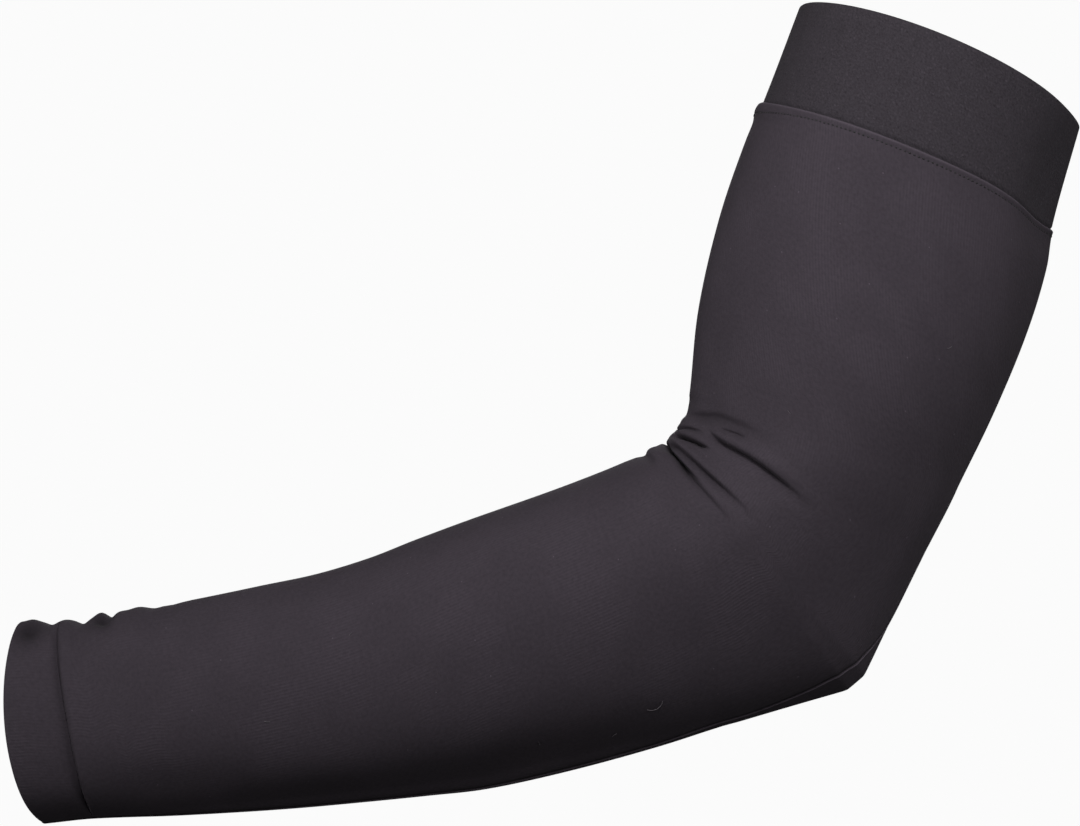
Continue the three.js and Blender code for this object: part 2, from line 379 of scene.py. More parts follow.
def form_point(at, turn):
    """Points of the sleeve's smooth form, before lips and folds."""
    across = np.cos(np.radians(turn))
    aside = np.sin(np.radians(turn))
    slide = read_table(GIRTHS, "skew", at) / 2 * across + read_table(GIRTHS, "bow", at) * aside**2
    for sag in LIP_SAGS:
        drop = sag.drop * bell(at - LIP_EDGE, LIP_SAG_REACH)
        slide = slide + drop * bell(turn_from_crook(turn) - sag.turn, sag.spread)
    x, z, heading = centre_line(at + slide)
    off = np.hypot(np.maximum(0, abs(at - ELBOW_POINT.at) - ELBOW_POINT.flat), ELBOW_POINT.rounding)
    share = np.maximum(0, 1 - off / ELBOW_POINT.reach)
    back = read_table(GIRTHS, "back", at) + ELBOW_POINT.height * share**ELBOW_POINT.sharpness
    reach = np.where(across > 0, read_table(GIRTHS, "crook", at), back) * across
    to_crook = heading - math.pi / 2
    y = -read_table(GIRTHS, "side", at) * aside
    return np.stack([x + reach * np.cos(to_crook), y, z + reach * np.sin(to_crook)], axis=-1)


def out_of_form(at, turn):
    """The direction straight out of the smooth form."""
    step = 0.2
    along = form_point(at + step, turn) - form_point(at - step, turn)
    around = form_point(at, turn + step) - form_point(at, turn - step)
    out = np.cross(along, around)
    return out / np.linalg.norm(out, axis=-1, keepdims=True)


# Folds of the cloth


def crease_shape(crease, at, turn, shift):
    """The lift, the lean and the painted shade of one crease, fading out at both ends."""
    turns, places = zip(*crease.path)
    share = (turn - turns[0]) / (turns[-1] - turns[0])
    fade_in = 1 if turns[0] == 0 else smooth_step(share, 0, FADED_IN)
    fade = fade_in * (1 - smooth_step(share, FADES_OUT, 1))
    carried = crease.lean * fade * bell(LEAN_OFF, LEAN_WIDTH)
    off = (at - shift - curve_through(turns, places, turn) + carried) / crease.width
    valley = bell(off, np.where(off < 0, STEEP_SHARE, OPEN_SHARE))
    roll = crease.roll * bell(off + ROLL_OFF, ROLL_WIDTH)
    lean = crease.lean * bell(off + LEAN_OFF, LEAN_WIDTH)
    # Painted shade in the valley, darkest in the deepest crease
    gather = DEEPEST_CREASE_SHADE * crease.depth / DEEPEST_CREASE * bell(off, np.where(off < 0, STEEP_SHARE, 1))
    return fade * (roll - crease.depth * valley), fade * lean, fade * gather


def turn_from_crook(turn):
    """How far a turn is from the crook side, on the near or the far side."""
    turn = np.mod(turn, 360)
    return np.where(turn > 180, 360 - turn, turn)


def folds(at, turn):
    """The lift of all bulges, folds and wrinkles, how far each spot leans along the sleeve, and how
    much painted shade darkens it in the creases and dents."""
    from_crook = turn_from_crook(turn)
    far = np.where(np.mod(turn, 360) > 180, smooth_step(from_crook, *FAR_TURNS), 0)
    share = 1 - (1 - FAR_SHARE) * far
    clear_of_edge = smooth_step(from_crook, *BULGES_COME_IN) * (1 - smooth_step(from_crook, *BULGES_GO_OUT))
    lift = np.zeros_like(from_crook)
    lean = np.zeros_like(from_crook)
    gather = np.zeros_like(from_crook)
    for bulge in FORM_BULGES:
        rise = bulge.height * bell(at - bulge.at, bulge.width) * bell(from_crook - bulge.turn, bulge.spread)
        lift += clear_of_edge * rise
    for crease in CROOK_CREASES:
        crease_lift, crease_lean, crease_shade = crease_shape(crease, at, from_crook, FAR_SHIFT * far)
        lift += share * crease_lift
        lean += share * crease_lean
        gather += share * crease_shade
    for wrinkle in WRIST_WRINKLES:
        lift += wrinkle.height * bell(at - wrinkle.at, wrinkle.width) * bell(from_crook, wrinkle.cover)
    for dent in WRIST_DENTS:
        along, across = at - dent.at, np.mod(turn + 180, 360) - 180 - dent.turn
        lift -= dent.depth * bell(along, dent.width) * bell(across, dent.spread)
        # Painted shade in and around the dent
        width, spread = DENT_SHADE_SIZE * dent.width, DENT_SHADE_SIZE * dent.spread
        gather += DENT_SHADE * bell(along, width) * bell(across, spread)
    return lift, lean, gather


def groove_clear(turn):
    """How open the groove before the cuff is: it closes at the crook edge and at the back."""
    from_crook = turn_from_crook(turn)
    return smooth_step(from_crook, *GROOVE_OPENS) * (1 - smooth_step(from_crook, *GROOVE_CLOSES))


def stitch_row(turn):
    """Where the topstitching runs, in millimetres below the lip's edge."""
    return STITCH_RING.centre + STITCH_DROP * bell(turn_from_crook(turn), SWELLING_COVER)


def sleeve_face(at, turn):
    """The sleeve's and the cuff's face above the smooth form: lip, stitch line and groove."""
    spread = np.where(at < CUFF_GROOVE, GROOVE_SLEEVE_SIDE, GROOVE_CUFF_SIDE)
    groove = -GROOVE_DEPTH * groove_clear(turn) * bell(at - CUFF_GROOVE, spread)
    off = at - LIP_EDGE
    edge = LIP_RING.lift * bell(off - LIP_RING.centre, LIP_RING.spread)
    swelling = LIP_SWELLING.lift * bell(off - LIP_SWELLING.centre, LIP_SWELLING.spread)
    swelling = swelling * bell(turn_from_crook(turn), SWELLING_COVER)
    stitches = STITCH_RING.lift * bell(off - stitch_row(turn), STITCH_RING.spread)
    slope = LIP_SLOPE.lift * bell(off - LIP_SLOPE.centre, LIP_SLOPE.spread)
    return groove + edge + swelling + stitches + slope


def band_face(at, turn, knit):
    """The band's face: level with the smooth form, then close under the sleeve's lip."""
    under = sleeve_face(np.maximum(at, LIP_EDGE + LIP_FORM_FROM), turn) - knit - CLEARANCE
    return smooth_step(at - LIP_EDGE, *BAND_DIP) * np.minimum(0, under)


def cloth_point(at, turn, lift):
    """Points of folded cloth at a lift above the smooth form, in metres."""
    fold_lift, lean, _ = folds(at, turn)
    place = at + lean
    height = (lift + fold_lift)[..., None]
    return (form_point(place, turn) + height * out_of_form(place, turn)) * MM


# Walls of cloth


def seam_columns(count):
    """Turns counted from the back seam, close together beside it and even elsewhere."""
    per_mm = 360 / (2 * math.pi * SEAM_COLUMNS_RADIUS)
    close = [step * per_mm for step in SEAM_COLUMNS]
    first = close[-1]
    even = np.linspace(first, 360 - first, count)
    return np.array([0, *close[:-1], *even, *[360 - step for step in reversed(close[:-1])]])


WallGrid = namedtuple("WallGrid", "points uvs wear gather inner")


def wall_grid(outline, face, columns):
    """The points of a cloth wall, their UVs, the painted highlight and painted shade on them, and which
    rows are inside. A row stands for a point of the cut wall's outline, which gives its place, its lift
    above the cloth's face and whether it is inside, and a column for a turn from the seam."""
    at, lift, inner = zip(*outline, outline[0])
    at = np.array(at, float)[:, None]
    lift = np.array(lift, float)[:, None]
    inner = np.array(inner, bool)
    from_seam = np.append(columns, 360.0)[None, :]
    turn = read_table(SEAM_LINE, "turn", at) + from_seam
    at = np.broadcast_to(at, turn.shape)
    girth = 2 * math.pi * read_table(GIRTHS, "side", at)
    seam_off = np.where(from_seam > 180, from_seam - 360, from_seam) / 360 * girth
    plain = inner[:, None] | (at < LIP_EDGE)
    hollow = bell(seam_off + SEAM_HOLLOW_OFF, SEAM_HOLLOW_HALF)
    ridge = np.where(plain, 0, SEAM_RIDGE * bell(seam_off, SEAM_RIDGE_HALF) - SEAM_HOLLOW * hollow)
    points = cloth_point(at, turn, face(at, turn) + lift + ridge)
    steps = np.linalg.norm(np.diff(points, axis=1), axis=-1)
    around = np.concatenate([np.zeros((len(at), 1)), np.cumsum(steps, axis=1)], axis=1)
    crook = np.array([np.interp(360, *row) for row in zip(turn, around)])
    around = around - crook[:, None] - WALE_DRIFT * np.minimum(at, CENTRE_LINE[0].length) * MM
    # Painted highlight: the seam's crest and the lip's edge are drawn paler, where light catches them
    seam_highlight = bell(seam_off, SEAM_HIGHLIGHT_HALF)
    lip = LIP_HIGHLIGHT.share * bell(at - LIP_EDGE - LIP_HIGHLIGHT.off, LIP_HIGHLIGHT.spread)
    wear = np.where(plain, 0, np.maximum(seam_highlight, lip))
    # Painted shade: darker in the creases, dents, the hollow beside the seam and the groove before the cuff
    groove = groove_clear(turn) * bell(at - CUFF_GROOVE - GROOVE_SHADE.off, GROOVE_SHADE.spread)
    gather = folds(at, turn)[2] + SEAM_HOLLOW_SHADE * hollow + GROOVE_SHADE.share * groove
    gather = np.where(plain, 0, np.minimum(gather, 1))
    return WallGrid(points, np.stack([at * MM, around], axis=-1), wear, gather, inner)


def cloth_wall(name, outline, face, columns):
    """A closed wall of cloth: a flat grid laid round the sleeve, then merged along the seam and at
    the wall's own start."""
    wall = wall_grid(outline, face, columns)
    rows, turns = len(outline), len(columns)
    bm = bmesh.new()
    uv = bm.loops.layers.uv.new("UVMap")
    # Vertex layers of painted highlight and painted shade
    highlit = bm.verts.layers.float.new("wear")
    shade_layer = bm.verts.layers.float.new("gather")
    bmesh.ops.create_grid(bm, x_segments=rows, y_segments=turns, size=0.5, calc_uvs=True)
    spots = {}
    for vert in bm.verts:
        spot = (round((vert.co.x + 0.5) * rows), round((vert.co.y + 0.5) * turns))
        spots[vert.index] = spot
        vert.co = wall.points[spot]
        vert[highlit] = wall.wear[spot]
        vert[shade_layer] = wall.gather[spot]
    for quad in bm.faces:
        corners = [spots[loop.vert.index] for loop in quad.loops]
        for loop, spot in zip(quad.loops, corners):
            loop[uv].uv = wall.uvs[spot]
        quad.material_index = int(all(wall.inner[row] for row, _ in corners))
    bmesh.ops.remove_doubles(bm, verts=bm.verts, dist=1e-7)
    bmesh.ops.recalc_face_normals(bm, faces=bm.faces)
    return new_object(name, bm, piece_collection())


def new_object(name, bm, collection):
    """A new smooth object at the origin that holds a bmesh."""
    for face in bm.faces:
        face.smooth = True
    mesh = bpy.data.meshes.new(name)
    bm.to_mesh(mesh)
    bm.free()
    made = bpy.data.objects.new(name, mesh)
    collection.objects.link(made)
    return made


def piece_collection():
    """The collection that holds the arm warmer's pieces, which the lights shine on."""
    name = "Arm warmer"
    if name not in bpy.data.collections:
        bpy.context.scene.collection.children.link(bpy.data.collections.new(name))
    return bpy.data.collections[name]


def round_edge(at, lift, radius, towards, inner_first):
    """The rounded edge of a cut wall: points of a half circle about (at, lift)."""
    angles = np.radians(EDGE_ANGLES)
    angles = angles if inner_first else -angles
    return [(at + towards * radius * math.cos(a), lift + radius * math.sin(a), a < 0) for a in angles]


def sleeve_outline(wall):
    """The cut wall of the sleeve: rolled lip, outer face, then the inner face back."""
    rows = [LIP_EDGE + wall / 2]
    for stretch in SLEEVE_STRETCHES:
        count = max(1, round((stretch.until - rows[-1]) / stretch.step))
        rows.extend(np.linspace(rows[-1], stretch.until, count + 1)[1:])
    edge = round_edge(LIP_EDGE + wall / 2, -wall / 2, wall / 2, -1, True)
    outer = [(at, 0, False) for at in rows]
    inner = [(at, -wall, True) for at in [*rows[:-1:INNER_ROW_STEP], rows[-1]]]
    return [*edge, *outer, *reversed(inner)]


def changing_rows(start, origin, end, change):
    """Rows of a wall from start to end, whose spacing changes once, at a distance from the origin."""
    before = np.linspace(start, origin + change.last, change.count_before)
    after = np.linspace(origin + change.first, end, change.count_after)
    return np.concatenate([before, after])


def band_outline(wall):
    """The cut wall of the gripper band: rounded top edge, outer face, then the inner face back."""
    rows = changing_rows(wall / 2, LIP_EDGE, BAND_TUCK_END, BAND_ROWS)
    edge = round_edge(wall / 2, -wall / 2, wall / 2, -1, True)
    outer = [(at, 0, False) for at in rows]
    inner = [(at, -wall, True) for at in rows]
    return [*edge, *outer, *reversed(inner)]


def cuff_outline(wall):
    """The cut wall of the cuff, one strip folded at the rim into an outer and an inner layer."""
    layer = (wall - CUFF_LAYER_GAP) / 2
    start = CUFF_GROOVE + CUFF_GAP / 2
    rows = changing_rows(start, start, WRIST_RIM - wall / 2, CUFF_ROWS)
    short = [at for at in rows if at < rows[-1] - CUFF_FOLD]
    outer = [(at, 0, False) for at in rows]
    rim = round_edge(WRIST_RIM - wall / 2, -wall / 2, wall / 2, 1, False)
    inner = [(at, -wall, True) for at in reversed(rows)]
    inner_back = [(at, -wall + layer, True) for at in short]
    outer_back = [(at, -layer, True) for at in reversed(short)]
    return [*outer, *rim, *inner, *inner_back, *outer_back]


# Materials


def add_node(tree, kind, inputs=None, **settings):
    """Adds one node with its settings, and sets or links its inputs."""
    node = tree.nodes.new("ShaderNode" + kind)
    for key, value in settings.items():
        setattr(node, key, value)
    for key, value in (inputs or {}).items():
        if isinstance(value, bpy.types.NodeSocket):
            tree.links.new(value, node.inputs[key])
        else:
            node.inputs[key].default_value = value
    return node


def new_material(name):
    """A bare material and its empty node tree."""
    material = bpy.data.materials.new(name)
    material.use_nodes = True
    material.node_tree.nodes.clear()
    return material, material.node_tree


KNIT_FACE = "Brushed nylon elastane knit"
KNIT_INSIDE = "Raised inner face of knit"

# Sizes of the patterns, in millimetres. Wales are the knit's lengthwise columns of loops. The real
# ones are about 0.6 mm apart, which is too fine to show, so they are drawn at 1.1 mm.
WALE_PITCH = 1.1
COURSE_PITCH = 0.9
NAP_GRAIN = 1.3
NAP_PATCH = 22
LINT_SPACING = 17.0
PILE_GRAIN = 2.2
PLUSH_GRAIN = 0.75
PLUSH_CLUMP = 5
FLECK_SPACING = 1.7
THREAD_TWIST = 0.6
FIBRE_PATCH = 1.5
# Shares within the patterns
LEG_SLANT = 0.7
RUNG_RISE = 0.12
NAP_RISE = 1.4
SPECK_SIZE = 0.014
SPECK_PICK = 0.6
SPECK_SHARE = 0.2
HIGHLIGHT_SHARE = 0.85
CLUMP_RISE = 0.25
FLECK_SIZE = 0.2


def shade(colour, factor):
    """A linear colour made darker or lighter, with full alpha."""
    return (*[min(1.0, c * factor) for c in colour], 1.0)


def knit_relief(tree, uv):
    """The height of the knit: columns of loops with slanted legs, which show in patches through a
    soft nap."""
    parts = add_node(tree, "SeparateXYZ", {"Vector": uv}).outputs
    wales, courses = 1 / (WALE_PITCH * MM), 1 / (COURSE_PITCH * MM)
    wale = add_node(tree, "Math", {0: parts["Y"], 1: wales}, operation="MULTIPLY").outputs[0]
    course = add_node(tree, "Math", {0: parts["X"], 1: courses}, operation="MULTIPLY").outputs[0]
    leg = add_node(tree, "Math", {0: wale, 1: 1.0}, operation="PINGPONG").outputs[0]
    slope = add_node(tree, "Math", {0: leg, 1: LEG_SLANT, 2: course}, operation="MULTIPLY_ADD").outputs[0]
    rung = add_node(tree, "Math", {0: slope, 1: 0.5}, operation="PINGPONG").outputs[0]
    column = add_node(tree, "Math", {0: wale, 1: 0.5}, operation="PINGPONG").outputs[0]
    loops = add_node(tree, "Math", {0: rung, 1: RUNG_RISE, 2: column}, operation="MULTIPLY_ADD").outputs[0]
    nap = add_node(
        tree, "TexNoise", {"Vector": uv, "Scale": 1 / (NAP_GRAIN * MM), "Detail": 3.0, "Roughness": 0.65},
        noise_dimensions="2D",
    ).outputs["Fac"]
    patch = add_node(
        tree, "TexNoise", {"Vector": uv, "Scale": 1 / (NAP_PATCH * MM), "Detail": 2.0}, noise_dimensions="2D"
    ).outputs["Fac"]
    clear = add_node(tree, "MapRange", {"Value": patch, "From Min": 0.38, "From Max": 0.66}).outputs[0]
    loops = add_node(tree, "Math", {0: loops, 1: clear}, operation="MULTIPLY").outputs[0]
    return add_node(tree, "Math", {0: nap, 1: NAP_RISE, 2: loops}, operation="MULTIPLY_ADD").outputs[0]


def lint_specks(tree, uv):
    """Small specks of lint, scattered on the knit: how much each pales it."""
    speck = add_node(
        tree, "TexVoronoi", {"Vector": uv, "Scale": 1 / (LINT_SPACING * MM)}, voronoi_dimensions="2D"
    )
    off = speck.outputs["Distance"]
    near = add_node(tree, "Math", {0: off, 1: SPECK_SIZE}, operation="LESS_THAN").outputs[0]
    pick = add_node(tree, "SeparateXYZ", {"Vector": speck.outputs["Color"]}).outputs["X"]
    some = add_node(tree, "Math", {0: pick, 1: SPECK_PICK}, operation="GREATER_THAN").outputs[0]
    lint = add_node(tree, "Math", {0: near, 1: some}, operation="MULTIPLY").outputs[0]
    return add_node(tree, "Math", {0: lint, 1: SPECK_SHARE}, operation="MULTIPLY").outputs[0]


def brushed_knit(colour):
    """Brushed nylon and elastane knit: matt, near black with a warm violet cast, with fine rows of
    loops along the sleeve, a soft nap and a few pale specks of lint. It carries a painted highlight
    along the lip's edge and the seam's crest, and painted shade in the creases, dents and grooves."""
    material, tree = new_material(KNIT_FACE)
    uv = add_node(tree, "UVMap", uv_map="UVMap").outputs["UV"]
    relief = knit_relief(tree, uv)
    spread = add_node(tree, "MapRange", {"Value": relief, "From Min": 0.3, "From Max": 1.5}).outputs[0]
    cloth = add_node(
        tree, "Mix", {0: spread, 6: shade(colour, 0.8), 7: shade(colour, 1.2)}, data_type="RGBA"
    ).outputs[2]
    # Painted highlight along the lip's edge and the seam's crest
    wear = add_node(tree, "Attribute", attribute_name="wear").outputs["Fac"]
    highlit = add_node(tree, "Math", {0: wear, 1: HIGHLIGHT_SHARE}, operation="MULTIPLY").outputs[0]
    cloth = add_node(tree, "Mix", {0: highlit, 6: cloth, 7: shade(colour, 3.2)}, data_type="RGBA").outputs[2]
    # Painted shade, near black, in the creases, dents, the seam's hollow and the groove before the cuff
    gather = add_node(tree, "Attribute", attribute_name="gather").outputs["Fac"]
    cloth = add_node(tree, "Mix", {0: gather, 6: cloth, 7: shade(colour, 0.15)}, data_type="RGBA").outputs[2]
    lint = lint_specks(tree, uv)
    cloth = add_node(tree, "Mix", {0: lint, 6: cloth, 7: shade(colour, 5)}, data_type="RGBA").outputs[2]
    bump = add_node(tree, "Bump", {"Height": relief, "Strength": 0.35, "Distance": 0.25 * MM})
    finish_cloth(tree, cloth, bump.outputs["Normal"], roughness=0.92, sheen=0.02)
    return material


def finish_cloth(tree, colour, normal, roughness, sheen):
    """The shader that all the cloths share: matt with a rough, even spread of light."""
    inputs = {
        "Base Color": colour, "Normal": normal, "Roughness": roughness, "IOR": 1.45,
        "Specular IOR Level": 0.25, "Sheen Weight": sheen, "Sheen Roughness": 0.5,
    }
    shader = add_node(tree, "BsdfPrincipled", inputs)
    add_node(tree, "OutputMaterial", {"Surface": shader.outputs["BSDF"]})


def brushed_inside(colour):
    """The raised inner face of the knit: the same black, softer, with a short uneven pile."""
    material, tree = new_material(KNIT_INSIDE)
    uv = add_node(tree, "UVMap", uv_map="UVMap").outputs["UV"]
    pile = add_node(
        tree, "TexNoise", {"Vector": uv, "Scale": 1 / (PILE_GRAIN * MM), "Detail": 4.0, "Roughness": 0.65},
        noise_dimensions="2D",
    ).outputs["Fac"]
    spread = add_node(tree, "MapRange", {"Value": pile, "From Min": 0.3, "From Max": 0.7}).outputs[0]
    cloth = add_node(
        tree, "Mix", {0: spread, 6: shade(colour, 0.75), 7: shade(colour, 1.2)}, data_type="RGBA"
    ).outputs[2]
    bump = add_node(tree, "Bump", {"Height": pile, "Strength": 0.4, "Distance": 0.6 * MM}).outputs["Normal"]
    finish_cloth(tree, cloth, bump, roughness=0.95, sheen=0.1)
    return material


def plush_elastic(colour):
    """Plush-faced woven elastic: a dense felt-like pile, darker than the knit, speckled by tufts."""
    material, tree = new_material("Plush woven elastic")
    uv = add_node(tree, "UVMap", uv_map="UVMap").outputs["UV"]
    tuft = add_node(
        tree, "TexNoise", {"Vector": uv, "Scale": 1 / (PLUSH_GRAIN * MM), "Detail": 2.0, "Roughness": 0.7},
        noise_dimensions="2D",
    ).outputs["Fac"]
    clump = add_node(
        tree, "TexNoise", {"Vector": uv, "Scale": 1 / (PLUSH_CLUMP * MM), "Detail": 3.0, "Roughness": 0.6},
        noise_dimensions="2D",
    ).outputs["Fac"]
    relief = add_node(tree, "Math", {0: clump, 1: CLUMP_RISE, 2: tuft}, operation="MULTIPLY_ADD").outputs[0]
    fleck = add_node(
        tree, "TexVoronoi", {"Vector": uv, "Scale": 1 / (FLECK_SPACING * MM)}, voronoi_dimensions="2D"
    )
    off = fleck.outputs["Distance"]
    near = add_node(tree, "Math", {0: off, 1: FLECK_SIZE}, operation="LESS_THAN").outputs[0]
    pick = add_node(tree, "SeparateXYZ", {"Vector": fleck.outputs["Color"]}).outputs["X"]
    pale = add_node(tree, "MapRange", {"Value": pick, "To Min": -0.25, "To Max": 0.36}).outputs[0]
    tone = add_node(tree, "Math", {0: near, 1: pale, 2: relief}, operation="MULTIPLY_ADD").outputs[0]
    spread = add_node(
        tree, "MapRange", {"Value": tone, "From Min": 0.2, "From Max": 1.05}, clamp=False
    ).outputs[0]
    cloth = add_node(
        tree, "Mix", {0: spread, 6: shade(colour, 0.6), 7: shade(colour, 1.4)}, data_type="RGBA",
        clamp_factor=False,
    ).outputs[2]
    bump = add_node(tree, "Bump", {"Height": relief, "Strength": 0.6, "Distance": 0.5 * MM})
    finish_cloth(tree, cloth, bump.outputs["Normal"], roughness=0.95, sheen=0.02)
    return material


def sewing_thread(colour):
    """Black polyester sewing thread: smooth, with a faint gloss on its twisted strands."""
    material, tree = new_material("Polyester sewing thread")
    where = add_node(tree, "TexCoord").outputs["Object"]
    twist = add_node(
        tree, "TexNoise", {"Vector": where, "Scale": 1 / (THREAD_TWIST * MM), "Detail": 2.0}
    ).outputs["Fac"]
    strand = add_node(
        tree, "Mix", {0: twist, 6: shade(colour, 0.7), 7: shade(colour, 1.3)}, data_type="RGBA"
    ).outputs[2]
    bump = add_node(tree, "Bump", {"Height": twist, "Strength": 0.3, "Distance": 0.1 * MM}).outputs["Normal"]
    shader = add_node(
        tree, "BsdfPrincipled", {"Base Color": strand, "Normal": bump, "Roughness": 0.55, "IOR": 1.57}
    )
    add_node(tree, "OutputMaterial", {"Surface": shader.outputs["BSDF"]})
    return material


def cotton_lint(colour):
    """Loose cotton fibres: pale, soft and dull."""
    material, tree = new_material("Cotton lint")
    where = add_node(tree, "TexCoord").outputs["Object"]
    patch = add_node(tree, "TexNoise", {"Vector": where, "Scale": 1 / (FIBRE_PATCH * MM)}).outputs["Fac"]
    fibre = add_node(
        tree, "Mix", {0: patch, 6: shade(colour, 0.6), 7: shade(colour, 1.3)}, data_type="RGBA"
    ).outputs[2]
    shader = add_node(tree, "BsdfPrincipled", {"Base Color": fibre, "Roughness": 0.9, "IOR": 1.5})
    add_node(tree, "OutputMaterial", {"Surface": shader.outputs["BSDF"]})
    return material


def studio_paper(colour):
    """Matt white paper backdrop, lit from behind so that it stays even."""
    material, tree = new_material("Backlit paper backdrop")
    glow = add_node(tree, "Emission", {"Color": (*colour, 1.0), "Strength": 1.0})
    paper = add_node(tree, "BsdfDiffuse", {"Color": shade(colour, 0.12)})
    both = add_node(tree, "AddShader", {0: glow.outputs[0], 1: paper.outputs[0]})
    add_node(tree, "OutputMaterial", {"Surface": both.outputs[0]})
    return material


# What a user would change


class ArmWarmerSizes(bpy.types.PropertyGroup):
    """Sizes of the arm warmer's cloth and stitching."""

    knit_wall: FloatProperty(
        name="Knit thickness", description="Thickness of the sleeve's knit", default=1.2 * MM,
        min=0.5 * MM, max=3 * MM, unit="LENGTH", precision=4,
    )
    elastic_wall: FloatProperty(
        name="Elastic thickness", description="Thickness of the gripper band", default=1.6 * MM,
        min=0.5 * MM, max=4 * MM, unit="LENGTH", precision=4,
    )
    cuff_wall: FloatProperty(
        name="Cuff thickness", description="Thickness of the cuff's two layers together",
        default=2.2 * MM, min=1 * MM, max=5 * MM, unit="LENGTH", precision=4,
    )
    stitch_pitch: FloatProperty(
        name="Stitch pitch", description="From one topstitch under the lip to the next",
        default=1.6 * MM, min=1 * MM, max=6 * MM, unit="LENGTH", precision=4,
    )
    stitch_length: FloatProperty(
        name="Stitch length", description="Length of thread that shows in one topstitch",
        default=1.0 * MM, min=0.5 * MM, max=5 * MM, unit="LENGTH", precision=4,
    )
    thread_width: FloatProperty(
        name="Thread width", description="Width of the topstitching thread",
        default=0.7 * MM, min=0.1 * MM, max=1.5 * MM, unit="LENGTH", precision=4,
    )
    columns: IntProperty(name="Columns", description="Faces round the sleeve", default=224, min=60, max=300)


class ArmWarmerColours(bpy.types.PropertyGroup):
    """Colours of the arm warmer and its backdrop."""

    knit: FloatVectorProperty(
        name="Knit", description="Colour of the sleeve and cuff", subtype="COLOR", size=3,
        min=0, max=1, default=linear("#4b444c"),
    )
    elastic: FloatVectorProperty(
        name="Elastic", description="Colour of the gripper band", subtype="COLOR", size=3,
        min=0, max=1, default=linear("#423d43"),
    )
    thread: FloatVectorProperty(
        name="Thread", description="Colour of the topstitching", subtype="COLOR", size=3,
        min=0, max=1, default=linear("#1b191c"),
    )
    lint: FloatVectorProperty(
        name="Lint", description="Colour of the loose fibres", subtype="COLOR", size=3,
        min=0, max=1, default=linear("#726c72"),
    )
    backdrop: FloatVectorProperty(
        name="Backdrop", description="Colour of the floor and backdrop", subtype="COLOR", size=3,
        min=0, max=1, default=linear("#fbfbfb"),
    )


# The pieces


class ARMWARMER_OT_sleeve(bpy.types.Operator):
    """Make the knitted sleeve with its rolled lip, folds and back seam"""

    bl_idname = "armwarmer.sleeve"
    bl_label = "Sleeve"

    def execute(self, context):
        sizes, colours = context.scene.arm_warmer_sizes, context.scene.arm_warmer_colours
        wall = sizes.knit_wall / MM
        sleeve = cloth_wall("knit_sleeve", sleeve_outline(wall), sleeve_face, seam_columns(sizes.columns))
        sleeve.data.materials.append(brushed_knit(colours.knit))
        sleeve.data.materials.append(brushed_inside(colours.knit))
        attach(sleeve, "root")
        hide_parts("sleeve")
        return {"FINISHED"}


class ARMWARMER_OT_gripper_band(bpy.types.Operator):
    """Make the elastic gripper band at the upper arm"""

    bl_idname = "armwarmer.gripper_band"
    bl_label = "Gripper band"

    def execute(self, context):
        sizes, colours = context.scene.arm_warmer_sizes, context.scene.arm_warmer_colours
        wall, knit = sizes.elastic_wall / MM, sizes.knit_wall / MM
        face = partial(band_face, knit=knit)
        band = cloth_wall("elastic_gripper_band", band_outline(wall), face, seam_columns(sizes.columns))
        elastic = plush_elastic(colours.elastic)
        band.data.materials.append(elastic)
        band.data.materials.append(elastic)
        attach(band, "root")
        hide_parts("gripper_band")
        return {"FINISHED"}


class ARMWARMER_OT_wrist_cuff(bpy.types.Operator):
    """Make the doubled cuff at the wrist"""

    bl_idname = "armwarmer.wrist_cuff"
    bl_label = "Wrist cuff"

    def execute(self, context):
        sizes = context.scene.arm_warmer_sizes
        outline = cuff_outline(sizes.cuff_wall / MM)
        cuff = cloth_wall("knit_wrist_cuff", outline, sleeve_face, seam_columns(sizes.columns))
        cuff.data.materials.append(bpy.data.materials[KNIT_FACE])
        cuff.data.materials.append(bpy.data.materials[KNIT_INSIDE])
        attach(cuff, "root")
        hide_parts("wrist_cuff")
        return {"FINISHED"}


class ARMWARMER_OT_topstitching(bpy.types.Operator):
    """Make the row of topstitching under the sleeve's lip"""

    bl_idname = "armwarmer.topstitching"
    bl_label = "Topstitching"

    def execute(self, context):
        sizes, colours = context.scene.arm_warmer_sizes, context.scene.arm_warmer_colours
        turns = np.linspace(0, 360, STITCH_LINE_POINTS)
        rows = LIP_EDGE + stitch_row(turns)
        line = cloth_point(rows, turns, sleeve_face(rows, turns))
        lengths = np.concatenate([[0], np.cumsum(np.linalg.norm(np.diff(line, axis=0), axis=1))])
        count = round(lengths[-1] / sizes.stitch_pitch)
        spaced = np.arange(count) / count * lengths[-1]
        bm = bmesh.new()
        for at, turn in zip(np.interp(spaced, lengths, rows), np.interp(spaced, lengths, turns)):
            add_stitch(bm, at, turn, sizes.stitch_length, sizes.thread_width)
        stitches = new_object("lip_topstitching", bm, piece_collection())
        stitches.data.materials.append(sewing_thread(colours.thread))
        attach(stitches, "root")
        return {"FINISHED"}


# Points at which the stitch line is measured, and the share of the thread's width that is sunk in
STITCH_LINE_POINTS = 1441
STITCH_SINK = 0.15
# The steps along and round the sleeve over which the cloth's directions are taken
AXIS_STEP = 0.3
AXIS_TURN = 0.4


def cloth_axes(at, turn):
    """The directions along the sleeve, round it and out of it at one spot of the cloth."""
    spots_at = np.array([at - AXIS_STEP, at + AXIS_STEP, at, at])
    spots_turn = np.array([turn, turn, turn - AXIS_TURN, turn + AXIS_TURN])
    points = cloth_point(spots_at, spots_turn, np.zeros(4))
    along = Vector(points[1] - points[0]).normalized()
    around = Vector(points[3] - points[2]).normalized()
    return along, around, along.cross(around).normalized()


